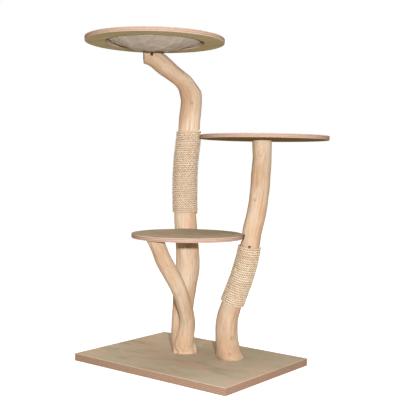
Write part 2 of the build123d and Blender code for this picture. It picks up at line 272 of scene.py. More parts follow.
@dataclass(frozen=True)
class PeeledWood:
    """A branch with its bark off: pale, with long faint streaks, warm patches and pin knots."""

    name: str = "peeled_wood"
    pale: Colour = shade(195, 174, 151)
    warm: Colour = shade(183, 152, 123)
    rose: Colour = shade(184, 148, 126)
    streak: Colour = shade(142, 108, 81)
    # End grain colour of saw cuts, made darker to stand for shade; also painted shade on bored hole walls.
    sawn: Colour = shade(95, 75, 57)
    knot: Colour = shade(66, 38, 22)
    darker_above: Colour = (0.79, 0.77, 0.76)
    darker_from: float = 0.84
    darker_to: float = 0.99
    knots: tuple[Knot, ...] = ()

    def material(self) -> bpy.types.Material:
        """Build the wood's material."""
        nodes = Nodes(self.name)
        run = nodes.along()
        patches = nodes.noise(run.scaled((14, 14, 5)), 1.0, 2.0)
        blushes = nodes.noise(run.scaled((24, 24, 9)), 1.3, 3.0, 0.6)
        fibres = nodes.noise(run.scaled((520, 520, 18)), 1.0, 4.0, 0.4)
        streaks = nodes.noise(run.scaled((260, 260, 9)), 1.0, 4.0, 0.8)
        bands = nodes.noise(run.scaled((70, 70, 2.6)), 1.0, 3.0, 1.0)
        pores = nodes.noise(run.scaled((1300, 1300, 55)), 1.0, 2.0)
        colour = nodes.mix(patches.step(0.36, 0.66), self.pale, self.warm)
        colour = nodes.tint(blushes, 0.52, 0.72, 0.6, colour, self.rose)
        colour = nodes.tint(bands, 0.5, 0.74, 0.28, colour, self.streak)
        colour = nodes.tint(streaks, 0.5, 0.7, 0.46, colour, self.streak)
        colour = nodes.tint(fibres, 0.5, 0.75, 0.32, colour, self.streak)
        colour = nodes.tint(pores, 0.62, 0.72, 0.2, colour, self.knot)
        # The wood is multiplied darker and greyer above a set height.
        darker_above = nodes.place().axis("Z").step(self.darker_from, self.darker_to)
        colour = nodes.mix(darker_above, colour, nodes.mix(1.0, colour, self.darker_above, "MULTIPLY"))
        # Saw cuts darken to end grain deepened with painted shade, and hole walls take painted shade.
        colour = nodes.mix(nodes.carried(SAWN_AND_HOLE_SHADE) * 0.85, colour, self.sawn)
        height = fibres * 0.6 + streaks * 0.5 + pores * 0.25
        place = nodes.place()
        for mark in self.knots:
            middle = tuple(MM * axis for axis in mark.place)
            size = mark.radius * MM
            reach = nodes.add("ShaderNodeVectorMath", {"operation": "DISTANCE"},
                              {0: place, 1: middle}, "Value")
            wobble = reach + (streaks - 0.5) * size
            eye = wobble.step(0.75 * size, 0.35 * size)
            halo = wobble.step(2.6 * size, 0.8 * size)
            colour = nodes.mix(halo * 0.35, colour, self.streak)
            colour = nodes.mix(eye * mark.darkness, colour, self.knot)
            height = height - eye * 0.8
        rough = 0.62 + fibres * 0.2
        return nodes.surface(Base_Color=colour, Roughness=rough, Specular_IOR_Level=0.16,
                             Normal=nodes.bump(height, 0.0009, 0.7))


@dataclass(frozen=True)
class Plywood:
    """Oiled plywood: veneer faces with long figure, and edges that show the plies."""

    name: str
    bottom: float
    thickness: float
    plies: int
    # Painted shade: downward faces take these darker colours.
    under: Colour = shade(146, 131, 97)
    under_dark: Colour = shade(129, 113, 81)
    face: Colour = shade(181, 169, 149)
    face_dark: Colour = shade(162, 150, 126)
    face_rose: Colour = shade(192, 168, 149)
    face_light: Colour = shade(216, 201, 182)
    edge: Colour = shade(174, 149, 136)
    edge_dark: Colour = shade(145, 113, 96)
    void: Colour = shade(60, 40, 28)

    def material(self) -> bpy.types.Material:
        """Build the plywood's material."""
        nodes = Nodes(self.name)
        place = nodes.place()
        clouds = nodes.noise(place.scaled((2.4, 6.5, 1)), 1.3, 3.0, 1.0)
        blushes = nodes.noise(place.scaled((4.5, 8, 1)), 1.0, 4.0, 1.2)
        figure = nodes.noise(place.scaled((3.5, 42, 1)), 1.0, 5.0, 1.8)
        fibres = nodes.noise(place.scaled((40, 900, 1)), 1.0, 3.0)
        scuffs = nodes.noise(place.scaled((7, 15, 1)), 1.3, 4.0, 1.2)
        face = nodes.mix(clouds.step(0.38, 0.66), self.face, self.face_dark)
        face = nodes.tint(blushes, 0.42, 0.62, 0.75, face, self.face_rose)
        face = nodes.tint(figure, 0.5, 0.72, 0.3, face, self.face_dark)
        face = nodes.tint(scuffs, 0.58, 0.8, 0.4, face, self.face_light)
        face = nodes.tint(fibres, 0.5, 0.8, 0.3, face, self.face_dark)
        # Painted shade: every face that points down gets the darker underside colours.
        underside_shade_mask = nodes.facing().axis("Z").step(-0.45, -0.75)
        under = nodes.mix(figure.step(0.4, 0.7), self.under, self.under_dark)
        face = nodes.mix(underside_shade_mask, face, under)
        up = (place.axis("Z") - self.bottom) * (self.plies / self.thickness)
        waviness = nodes.noise(place.scaled((22, 22, 4)), 1.0, 2.0)
        layer = up + (waviness - 0.5) * 0.28
        across = layer.math("FRACT")
        glue = (across.step(0.16, 0.0) + across.step(0.86, 1.0)).clamped()
        odd = (layer * 0.5).math("FRACT").step(0.46, 0.54)
        end_grain = nodes.noise(place.scaled((620, 620, 60)), 1.0, 3.0)
        long_grain = nodes.noise(place.scaled((55, 55, 700)), 1.0, 3.0)
        edge = nodes.mix(odd * 0.6, self.edge, self.edge_dark)
        edge = nodes.tint(end_grain, 0.5, 0.75, 0.3, edge, self.edge_dark)
        edge = nodes.tint(long_grain, 0.5, 0.8, 0.35, edge, self.face_light)
        edge = nodes.mix(glue * 0.55, edge, self.edge_dark)
        level = layer.math("FLOOR") * 7.3
        shifted = nodes.add("ShaderNodeCombineXYZ", {}, {0: place.axis("X") * 12.0, 1: place.axis("Y") * 12.0,
                                                         2: level})
        gaps = nodes.noise(shifted, 1.0, 2.0)
        gap = gaps.step(0.69, 0.73) * odd * across.step(0.15, 0.3) * across.step(0.85, 0.7)
        edge = nodes.mix(gap * 0.8, edge, self.void)
        skin_ply = up.step(self.plies - 0.75, self.plies - 0.55)
        edge = nodes.mix(skin_ply * 0.35, edge, self.face_light)
        side = nodes.facing().axis("Z").math("ABSOLUTE").step(0.75, 0.45)
        colour = nodes.mix(side, face, edge)
        face_height = fibres * 0.5 + figure * 0.5
        edge_height = long_grain * 0.5 - glue * 0.4 - gap * 2.0
        height = face_height * (1 - side) + edge_height * side
        return nodes.surface(Base_Color=colour, Roughness=0.72 + fibres * 0.2,
                             Specular_IOR_Level=0.06, Normal=nodes.bump(height, 0.0006, 0.6))


@dataclass(frozen=True)
class Sisal:
    """Twisted sisal: straw-coloured fibres that run with the strands, with painted shade in the grooves
    between them.
    """

    name: str = "sisal_rope"
    straw: Colour = shade(242, 227, 204)
    gold: Colour = shade(226, 196, 160)
    brown_and_groove_shade: Colour = shade(134, 103, 71)

    def material(self) -> bpy.types.Material:
        """Build the rope's material."""
        nodes = Nodes(self.name)
        run = nodes.along()
        fibres = nodes.noise(run.scaled((2600, 2600, 160)), 1.0, 3.0, 0.3)
        lengths = nodes.noise(run.scaled((60, 60, 9)), 1.0, 3.0)
        patches = nodes.noise(nodes.place(), 26.0, 2.0)
        groove = nodes.carried(GROOVE)
        colour = nodes.mix(lengths.step(0.35, 0.7), self.straw, self.gold)
        colour = nodes.tint(patches, 0.5, 0.75, 0.4, colour, self.gold)
        colour = nodes.tint(fibres, 0.5, 0.78, 0.5, colour, self.brown_and_groove_shade)
        # Painted shade: the grooves between the strands darken towards brown.
        colour = nodes.mix(groove * 0.8, colour, self.brown_and_groove_shade)
        return nodes.surface(Base_Color=colour, Roughness=0.78, Specular_IOR_Level=0.2, Sheen_Weight=0.15,
                             Normal=nodes.bump(fibres, 0.0008, 0.8))


@dataclass(frozen=True)
class Canvas:
    """Beige cotton canvas with a plain weave."""

    name: str = "canvas"
    warp: Colour = shade(188, 173, 159)
    weft: Colour = shade(172, 158, 142)
    shadow: Colour = shade(140, 123, 104)
    # Painted shade round the hole's edge and over the hem.
    rim_shade: Colour = shade(84, 68, 52)
    middle: tuple[float, float] = (0.0, 0.0)
    rim_shade_from: float = 0.15
    rim_shade_to: float = 0.17
    threads_per_metre: float = 1300.0

    def material(self) -> bpy.types.Material:
        """Build the canvas material."""
        nodes = Nodes(self.name)
        place = nodes.place()
        turns = self.threads_per_metre * math.pi
        across = (place.axis("X") * turns).math("SINE")
        down = (place.axis("Y") * turns).math("SINE")
        weave = across * down
        slub = (nodes.noise(place.scaled((30, 420, 1)), 1.0, 2.0)
                + nodes.noise(place.scaled((420, 30, 1)), 1.0, 2.0))
        clouds = nodes.noise(place, 9.0, 3.0)
        colour = nodes.mix(weave.step(-0.6, 0.6), self.weft, self.warp)
        colour = nodes.tint(slub, 1.0, 1.3, 0.35, colour, self.shadow)
        colour = nodes.tint(clouds, 0.45, 0.8, 0.3, colour, self.shadow)
        # Painted shade: the canvas darkens in a ring near and past the hole's edge.
        from_middle = nodes.add("ShaderNodeVectorMath", {"operation": "DISTANCE"},
                                {0: place.scaled((1, 1, 0)), 1: (*self.middle, 0.0)}, "Value")
        colour = nodes.mix(from_middle.step(self.rim_shade_from, self.rim_shade_to) * 0.75, colour, self.rim_shade)
        height = across.math("ABSOLUTE") + down.math("ABSOLUTE") + slub * 0.4
        return nodes.surface(Base_Color=colour, Roughness=0.9, Specular_IOR_Level=0.15, Sheen_Weight=0.2,
                             Normal=nodes.bump(height, 0.0004, 0.7))


@dataclass(frozen=True)
class ZincSteel:
    """Zinc-plated steel with faint spangle and tool marks."""

    name: str = "zinc_steel"
    bright: Colour = (0.72, 0.72, 0.7)
    dull: Colour = (0.46, 0.45, 0.42)

    def material(self) -> bpy.types.Material:
        """Build the steel's material."""
        nodes = Nodes(self.name)
        place = nodes.place()
        spangle = nodes.noise(place, 900.0, 2.0)
        smears = nodes.noise(place.scaled((1, 1, 4)), 240.0, 3.0)
        colour = nodes.mix(spangle.step(0.4, 0.65), self.bright, self.dull)
        rough = 0.26 + smears * 0.3
        return nodes.surface(Base_Color=colour, Metallic=1.0, Roughness=rough,
                             Normal=nodes.bump(smears, 0.0001, 0.5))


@dataclass(frozen=True)
class PaleFloor:
    """A plain pale studio floor."""

    name: str = "pale_floor"
    light: Colour = (0.6, 0.6, 0.6)
    less: Colour = (0.585, 0.585, 0.585)
    glow: float = 0.82

    def material(self) -> bpy.types.Material:
        """Build the floor's material."""
        nodes = Nodes(self.name)
        clouds = nodes.noise(nodes.place(), 0.7, 2.0)
        return nodes.surface(Base_Color=nodes.mix(clouds, self.light, self.less), Roughness=0.85,
                             Emission_Color=(1.0, 1.0, 1.0), Emission_Strength=self.glow)


# ---- geometry helpers ------------------------------------------------------------------------


class SoftNoise:
    """Smooth seeded noise from -1 to 1 in three dimensions."""

    SIZE = 32

    def __init__(self, seed: int) -> None:
        """Fill the lattice of random values."""
        self.table = np.random.default_rng(seed).random((self.SIZE,) * 3) * 2 - 1

    def at(self, where: np.ndarray) -> np.ndarray:
        """Sample the noise.

        Args:
            where: rows of three coordinates, one lattice cell to a unit.

        Returns:
            One value for each row.
        """
        cell = np.floor(where).astype(int)
        part = where - cell
        part = part * part * (3 - 2 * part)
        total = np.zeros(len(where))
        for corner in itertools.product((0, 1), repeat=3):
            weight = np.prod(np.where(corner, part, 1 - part), axis=1)
            place = (cell + corner) % self.SIZE
            total += weight * self.table[place[:, 0], place[:, 1], place[:, 2]]
        return total


def smooth_step(value: np.ndarray, low: float, high: float) -> np.ndarray:
    """A smooth step from 0 at low to 1 at high."""
    part = np.clip((value - low) / (high - low), 0, 1)
    return part * part * (3 - 2 * part)


def unit(rows: np.ndarray) -> np.ndarray:
    """Rows scaled to a length of one."""
    return rows / np.linalg.norm(rows, axis=-1, keepdims=True)


class Spine:
    """The middle line of a branch, with its radius and a frame at each point that does not twist along it."""

    SAMPLES = 24

    def __init__(self, stations: Sequence[Station]) -> None:
        """Run a smooth line through stations of x, y, z and radius, in millimetres."""
        knots = np.array(stations) * MM
        padded = np.vstack([2 * knots[0] - knots[1], knots, 2 * knots[-1] - knots[-2]])
        part = np.linspace(0, 1, self.SAMPLES, endpoint=False)[:, None]
        rows = []
        for a, b, c, d in zip(padded, padded[1:], padded[2:], padded[3:]):
            cubic = (2 * b + (c - a) * part + (2 * a - 5 * b + 4 * c - d) * part ** 2
                     + (3 * b - a - 3 * c + d) * part ** 3)
            rows.append(cubic / 2)
        line = np.vstack([*rows, knots[-1:]])
        self.points, self.radius = line[:, :3], line[:, 3]
        self.run = unit(np.gradient(self.points, axis=0))
        steps = np.linalg.norm(np.diff(self.points, axis=0), axis=1)
        self.length = np.concatenate([[0], np.cumsum(steps)])
        self.first = np.zeros_like(self.points)
        side = np.array([1.0, 0.0, 0.0])
        for index, run in enumerate(self.run):
            side = unit(side - run * (side @ run))
            self.first[index] = side
        self.second = np.cross(self.run, self.first)

    def locate(self, points: np.ndarray) -> tuple[np.ndarray, np.ndarray]:
        """Find where points lie along and across the line.

        Args:
            points: rows of x, y and z in metres.

        Returns:
            Rows of two offsets across the line and the length along it, and how far each point lies outside
            the branch's radius.
        """
        nearest = np.zeros(len(points), dtype=int)
        for start in range(0, len(points), 4096):
            block = points[start:start + 4096]
            gaps = block[:, None, :] - self.points[None, :, :]
            nearest[start:start + 4096] = np.einsum("ijk,ijk->ij", gaps, gaps).argmin(axis=1)
        offset = points - self.points[nearest]
        along = np.einsum("ij,ij->i", offset, self.run[nearest])
        offset = offset - along[:, None] * self.run[nearest]
        first = np.einsum("ij,ij->i", offset, self.first[nearest])
        second = np.einsum("ij,ij->i", offset, self.second[nearest])
        rows = np.column_stack([first, second, self.length[nearest] + along])
        return rows, np.hypot(first, second) - self.radius[nearest]

    def at(self, length: np.ndarray) -> tuple[np.ndarray, np.ndarray]:
        """The points and directions of the line at these lengths along it."""
        points = np.column_stack([np.interp(length, self.length, self.points[:, k]) for k in range(3)])
        runs = np.column_stack([np.interp(length, self.length, self.run[:, k]) for k in range(3)])
        return points, unit(runs)


def new_piece(name: str, mesh: bpy.types.Mesh) -> bpy.types.Object:
    """Put a mesh into the scene as a piece that rides on the body."""
    piece = bpy.data.objects.new(name, mesh)
    bpy.context.scene.collection.objects.link(piece)
    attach(piece, BODY)
    return piece


def coordinates(mesh: bpy.types.Mesh, source: str = "co") -> np.ndarray:
    """The rows of a mesh's vertex positions or normals."""
    flat = np.empty(3 * len(mesh.vertices))
    mesh.vertices.foreach_get(source, flat)
    return flat.reshape(-1, 3)


def place_vertices(mesh: bpy.types.Mesh, rows: np.ndarray) -> None:
    """Move a mesh's vertices to these positions."""
    mesh.vertices.foreach_set("co", rows.ravel())
    mesh.update()


def carry(mesh: bpy.types.Mesh, name: str, values: np.ndarray) -> None:
    """Store numbers or vectors on a mesh's vertices for its material."""
    if values.ndim == 2:
        mesh.attributes.new(name, "FLOAT_VECTOR", "POINT").data.foreach_set("vector", values.ravel())
    else:
        mesh.attributes.new(name, "FLOAT", "POINT").data.foreach_set("value", values)


def tree_of(mesh: bpy.types.Mesh) -> BVHTree:
    """A search tree of a mesh's faces."""
    return BVHTree.FromPolygons([v.co for v in mesh.vertices], [p.vertices for p in mesh.polygons])


def shade_smooth(mesh: bpy.types.Mesh, sharp_degrees: float) -> None:
    """Shade a mesh smoothly except across edges sharper than this."""
    mesh.polygons.foreach_set("use_smooth", [True] * len(mesh.polygons))
    mesh.set_sharp_from_angle(angle=math.radians(sharp_degrees))


def dress(piece: bpy.types.Object, material: bpy.types.Material) -> None:
    """Give a piece its material."""
    piece.data.materials.clear()
    piece.data.materials.append(material)


# ---- branches --------------------------------------------------------------------------------


@dataclass(frozen=True)
class Ripple:
    """Uneven wood: its height, how wide and how long its swells are, and where its noise starts."""

    height: float
    across: float
    along: float
    start: float

    def at(self, noise: SoftNoise, grain: np.ndarray) -> np.ndarray:
        """The height at places along and across the grain."""
        return self.height * noise.at(grain / (self.across, self.across, self.along) + self.start)


@dataclass
class Branch:
    """A peeled natural branch that takes the place of a smooth CAD limb."""

    node: str
    name: str
    spines: tuple[Spine, ...]
    seed: int
    knots: tuple[Knot, ...] = ()
    voxel: float = 2.1 * MM
    ripples: tuple[Ripple, ...] = (Ripple(0.9 * MM, 30 * MM, 55 * MM, 0),
                                   Ripple(0.45 * MM, 15 * MM, 24 * MM, 7),
                                   Ripple(0.45 * MM, 7 * MM, 90 * MM, 3),
                                   Ripple(0.225 * MM, 3.2 * MM, 40 * MM, 11))
    flutes: float = 2.6 * MM
    flute_reach: float = 90 * MM
    flute_swell: float = 0.75
    flute_width: float = 11 * MM
    flute_length: float = 60 * MM
    flute_slant: float = 14.0
    bored_from: float = -3.5 * MM
    bored_to: float = -6 * MM
    settling: float = 0.6
    sharp_degrees: float = 48
    mark_spread: int = 3
    flat_area: float = 400 * MM * MM
    saw_cuts_above: float = 150 * MM
    relaxing: int = 2

    def build(self, frame: dict[str, Any], wood: PeeledWood) -> bpy.types.Object:
        """Build the branch.

        Args:
            frame: the loaded frame.
            wood: the finish of the peeled wood.

        Returns:
            The finished piece.
        """
        source = frame["nodes"][self.node]
        piece = new_piece(self.name, self.even_mesh(source))
        mesh = piece.data
        skin = tree_of(source.data)
        self.weather(mesh, self.relax(mesh, skin, self.sawn_faces(source.data).astype(float)))
        shade_smooth(mesh, self.sharp_degrees)
        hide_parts(self.node)
        dress(piece, replace(wood, name=self.name, knots=self.knots).material())
        return piece

    def even_mesh(self, source: bpy.types.Object) -> bpy.types.Mesh:
        """A closed mesh of evenly spaced faces with the source's shape."""
        rough = source.data.copy()
        welded = bmesh.new()
        welded.from_mesh(rough)
        bmesh.ops.remove_doubles(welded, verts=welded.verts, dist=0.01 * MM)
        welded.to_mesh(rough)
        welded.free()
        holder = bpy.data.objects.new("holder", rough)
        bpy.context.scene.collection.objects.link(holder)
        even = holder.modifiers.new("even", "REMESH")
        even.mode = "VOXEL"
        even.voxel_size = self.voxel
        mesh = bpy.data.meshes.new_from_object(holder.evaluated_get(bpy.context.evaluated_depsgraph_get()))
        bpy.data.objects.remove(holder)
        bpy.data.meshes.remove(rough)
        return mesh

    def sawn_faces(self, skin: bpy.types.Mesh) -> np.ndarray:
        """Which of the skin's faces lie in a wide flat saw cut."""
        normals = np.empty(3 * len(skin.polygons))
        areas = np.empty(len(skin.polygons))
        skin.polygons.foreach_get("normal", normals)
        skin.polygons.foreach_get("area", areas)
        kinds, kind = np.unique(normals.reshape(-1, 3).round(3) + 0.0, axis=0, return_inverse=True)
        return np.bincount(kind.ravel(), areas, len(kinds))[kind.ravel()] > self.flat_area

    def relax(self, mesh: bpy.types.Mesh, skin: BVHTree, sawn: np.ndarray) -> np.ndarray:
        """Even out the remesh's steps, and lay its points back on the skin.

        Args:
            mesh: the remeshed branch, which is changed.
            skin: the smooth branch's faces.
            sawn: 1 for each of those faces that lies in a saw cut, and otherwise 0.

        Returns:
            How much each point lies on a saw cut, from 0 to 1.
        """
        ends = np.empty(2 * len(mesh.edges), dtype=int)
        mesh.edges.foreach_get("vertices", ends)
        first, second = ends.reshape(-1, 2).T
        rows = coordinates(mesh)
        count = np.bincount(np.concatenate([first, second]), minlength=len(rows))[:, None]

        def spread(values: np.ndarray) -> np.ndarray:
            """The mean of each point's neighbours."""
            total = [np.bincount(first, column[second], len(rows))
                     + np.bincount(second, column[first], len(rows)) for column in values.T]
            return np.column_stack(total) / count

        for _ in range(self.relaxing):
            rows = rows + self.settling * (spread(rows) - rows)
            found = [skin.find_nearest(Vector(row)) for row in rows]
            rows = np.array([place for place, _, _, _ in found])
        place_vertices(mesh, rows)
        flat = (sawn[[face for _, _, face, _ in found]] * (rows[:, 2] > self.saw_cuts_above))[:, None]
        for _ in range(self.mark_spread):
            flat = (flat + spread(flat)) / 2
        return flat[:, 0]

    def weather(self, mesh: bpy.types.Mesh, flat: np.ndarray) -> None:
        """Shape the natural surface, leave the sawn faces flat, and store the grain and where saw cuts and
        painted hole shade darken the wood.

        Args:
            mesh: the branch, which is changed.
            flat: how much each point lies on a saw cut, from 0 to 1.
        """
        rows = coordinates(mesh)
        normals = coordinates(mesh, "normal")
        located = [spine.locate(rows) for spine in self.spines]
        grain, outside = located[0]
        for other_grain, other in located[1:]:
            grain = np.where((other < outside)[:, None], other_grain, grain)
            outside = np.minimum(outside, other)
        # Hole walls well below the skin are left unrippled and take painted shade.
        solid = smooth_step(outside, self.bored_to, self.bored_from)
        bored = (1 - solid) * (rows[:, 2] > self.saw_cuts_above)
        natural = (1 - bored) * (1 - flat)
        noise = SoftNoise(self.seed)
        shape = sum(ripple.at(noise, grain) for ripple in self.ripples)
        foot = 1 - smooth_step(rows[:, 2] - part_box(self.node)[0][2], 0, self.flute_reach)
        slanted = grain / (self.flute_width, self.flute_width, self.flute_length)
        slanted += grain[:, [2, 2, 0]] * self.flute_slant
        shape += self.flutes * foot * (noise.at(slanted) + self.flute_swell)
        for knot in self.knots:
            gap = np.linalg.norm(rows - np.array(knot.place) * MM, axis=1) / (knot.radius * MM)
            shape += knot.swell * MM * (np.exp(-(gap / 1.6) ** 2) - 1.5 * np.exp(-(gap / 0.6) ** 2))
        place_vertices(mesh, rows + normals * (shape * natural)[:, None])
        carry(mesh, GRAIN, grain)
        # Carries the mask of saw cuts and the painted shade of hole walls.
        carry(mesh, SAWN_AND_HOLE_SHADE, 1 - natural)


# ---- sisal rope ------------------------------------------------------------------------------


class Turns(Enum):
    """How a rope's turns lie on a branch."""

    LEVEL = "level with the floor"
    SQUARE = "square to the branch"


@dataclass
class RopeWrap:
    """One length of three-strand rope wound tightly round a branch."""

    node: str
    name: str
    spine: Spine
    low: Point
    high: Point
    low_side: Point
    high_side: Point
    turns: Turns
    seed: int
    diameter: float = 8 * MM
    pitch: float = 8.25 * MM
    lay: float = 27 * MM
    ring_step: float = 2.8 * MM
    columns: int = 15
    groove_floor: float = 0.66
    tail: float = 13 * MM
    tail_lift: float = 18.0
    fibres: int = 26
    wander: float = 0.35 * MM
    typical_reach: float = 45 * MM
    ray_start: float = 90 * MM
    smoothing: int = 13
    bedding: float = 0.94
    strand_offset: float = 0.536
    strand_radius: float = 0.464
    swelling: float = 0.035
    swell_length: float = 40 * MM
    fibre_spread: float = 0.33
    fibre_sizes: tuple[float, float] = (3.5, 8.0)
    fibre_droops: tuple[float, float] = (0.2, 1.2)
    fibre_radii: tuple[float, ...] = (0.28, 0.2, 0.08)

    def build(self, bark: bpy.types.Object, sisal: Sisal) -> bpy.types.Object:
        """Wind the rope round a branch.

        Args:
            bark: the finished branch.
            sisal: the rope's finish.

        Returns:
            The finished piece.
        """
        path, outward = self.path(tree_of(bark.data))
        vertices, faces, grain, groove = self.tube(path, outward)
        for end, inner in ((0, 6), (-1, -7)):
            self.fray(path[end], unit(path[end] - path[inner]), vertices, faces, grain, groove)
        mesh = bpy.data.meshes.new(self.name)
        mesh.from_pydata(np.vstack(vertices), [], faces)
        carry(mesh, GRAIN, np.vstack(grain))
        carry(mesh, GROOVE, np.concatenate(groove))
        shade_smooth(mesh, 80)
        piece = new_piece(self.name, mesh)
        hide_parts(self.node)
        dress(piece, sisal.material())
        LOG.info("%s: %.2f m of rope", self.name, np.linalg.norm(np.diff(path, axis=0), axis=1).sum())
        return piece

    def path(self, bark: BVHTree) -> tuple[np.ndarray, np.ndarray]:
        """The rope's middle line from its low end to its high end, and the way outward at each point."""
        radius = self.diameter / 2
        ends, _ = self.spine.locate(np.array([self.low, self.high]) * MM)
        start, stop = ends[0, 2] + radius, ends[1, 2] - radius
        turns = (stop - start) / self.pitch
        first, last = (self.angle(side, length) for side, length in
                       ((self.low_side, start), (self.high_side, stop)))
        sweep = 2 * math.pi * round(turns - (last - first) / (2 * math.pi)) + last - first
        count = int(self.typical_reach * sweep / self.ring_step)
        theta = first + np.linspace(0, sweep, count)
        noise = SoftNoise(self.seed)
        wander = noise.at(np.column_stack([theta * 1.1, theta * 0.16, np.zeros(count)]))
        length = np.linspace(start, stop, count) + self.wander * wander
        centre, run = self.spine.at(length)
        if self.turns is Turns.LEVEL:
            run = np.tile([0.0, 0.0, 1.0], (count, 1))
        first_axis = unit(np.array([1.0, 0.0, 0.0]) - run * run[:, :1])
        outward = np.cos(theta)[:, None] * first_axis + np.sin(theta)[:, None] * np.cross(run, first_axis)
        far = self.ray_start
        reach = np.array([far - bark.ray_cast(Vector(c + o * far), Vector(-o))[3]
                          for c, o in zip(centre, outward)])
        window = np.hanning(self.smoothing) / np.hanning(self.smoothing).sum()
        reach = np.convolve(np.pad(reach, self.smoothing // 2, mode="edge"), window, mode="valid")
        path = centre + outward * (reach + self.bedding * radius)[:, None]
        return self.with_tails(path, outward)

    def angle(self, side: Point, length: float) -> float:
        """The angle round the branch of a direction, at a length along it."""
        _, run = self.spine.at(np.array([length]))
        run = run[0] if self.turns is Turns.SQUARE else np.array([0.0, 0.0, 1.0])
        first_axis = unit(np.array([1.0, 0.0, 0.0]) - run * run[0])
        return math.atan2(np.dot(side, np.cross(run, first_axis)), np.dot(side, first_axis))

    def with_tails(self, path: np.ndarray, outward: np.ndarray) -> tuple[np.ndarray, np.ndarray]:
        """Add a short free end that stands a little off the branch at each end of the path."""
        count = int(self.tail / self.ring_step)
        part = np.arange(1, count + 1)[:, None] * self.ring_step
        rows, ways = [path], [outward]
        for end, inner, before in ((0, 1, True), (-1, -2, False)):
            run = unit(path[end] - path[inner])
            tail = path[end] + run * part + outward[end] * (part * part * self.tail_lift)
            way = np.tile(outward[end], (count, 1))
            rows.insert(0, tail[::-1]) if before else rows.append(tail)
            ways.insert(0, way) if before else ways.append(way)
        return np.vstack(rows), np.vstack(ways)

    def tube(self, path: np.ndarray, outward: np.ndarray) -> tuple[list, list, list, list]:
        """The rope's twisted three-lobed skin: vertices, faces, grain and groove depth."""
        count = len(path)
        run = unit(np.gradient(path, axis=0))
        first = unit(outward - run * np.einsum("ij,ij->i", outward, run)[:, None])
        second = np.cross(run, first)
        steps = np.linalg.norm(np.diff(path, axis=0), axis=1)
        length = np.concatenate([[0], np.cumsum(steps)])
        turn = 2 * math.pi * length / self.lay
        around = np.linspace(0, 2 * math.pi, self.columns, endpoint=False)
        lobe = (around + math.pi / 3) % (2 * math.pi / 3) - math.pi / 3
        centre, strand = self.strand_offset, self.strand_radius
        reach = centre * np.cos(lobe) + np.sqrt(np.clip(strand ** 2 - (centre * np.sin(lobe)) ** 2, 0, None))
        reach = np.clip(reach, self.groove_floor, None)
        noise = SoftNoise(self.seed + 1)
        swell = 1 + self.swelling * noise.at(np.column_stack([length / self.swell_length, np.zeros(count),
                                                              np.zeros(count)]))
        angle = turn[:, None] + around[None, :]
        size = self.diameter / 2 * reach[None, :] * swell[:, None]
        rings = (path[:, None, :] + first[:, None, :] * (np.cos(angle) * size)[:, :, None]
                 + second[:, None, :] * (np.sin(angle) * size)[:, :, None])
        vertices = [rings.reshape(-1, 3), path[:1], path[-1:]]
        n = self.columns
        faces = []
        for ring in range(count - 1):
            base = ring * n
            for k in range(n):
                nxt = (k + 1) % n
                faces.append((base + k, base + nxt, base + n + nxt, base + n + k))
        low, high, last = count * n, count * n + 1, (count - 1) * n
        faces += [(low, (k + 1) % n, k) for k in range(n)]
        faces += [(high, last + k, last + (k + 1) % n) for k in range(n)]
        across = self.diameter / 2 * reach
        grain = np.column_stack([
            np.tile(across * np.cos(around), count), np.tile(across * np.sin(around), count),
            np.repeat(length, n)])
        depth = 1 - (reach - self.groove_floor) / (1 - self.groove_floor)
        grains = [grain, np.array([[0, 0, 0], [0, 0, length[-1]]])]
        return vertices, faces, grains, [np.tile(depth, count), np.array([0.4, 0.4])]

    def fray(self, end: np.ndarray, run: np.ndarray, vertices: list, faces: list, grain: list,
             groove: list) -> None:
        """Add a tuft of loose fibres to a cut end of the rope."""
        draw = np.random.default_rng(self.seed + 17)
        for _ in range(self.fibres):
            root = end + draw.normal(0, 1.5 * MM, 3) - run * 2 * MM
            way = unit(run + draw.normal(0, self.fibre_spread, 3))
            size = draw.uniform(*self.fibre_sizes) * MM
            droop = np.array([0, 0, -draw.uniform(*self.fibre_droops) * MM])
            side = unit(np.cross(way, draw.normal(0, 1, 3)))
            other = np.cross(way, side)
            start = sum(len(rows) for rows in vertices)
            rows = []
            for part, thick in zip((0.0, 0.55, 1.0), self.fibre_radii):
                middle = root + way * size * part + droop * part * part
                for turn in range(3):
                    angle = 2 * math.pi * turn / 3
                    rows.append(middle + (side * math.cos(angle) + other * math.sin(angle)) * thick * MM)
            vertices.append(np.array(rows))
            for ring in (0, 3):
                for k in range(3):
                    nxt = (k + 1) % 3
                    faces.append((start + ring + k, start + ring + nxt, start + ring + 3 + nxt,
                                  start + ring + 3 + k))
            faces.append((start + 2, start + 1, start))
            faces.append((start + 6, start + 7, start + 8))
            grain.append(np.array(rows))
            groove.append(np.zeros(len(rows)))


# ---- hammock ---------------------------------------------------------------------------------


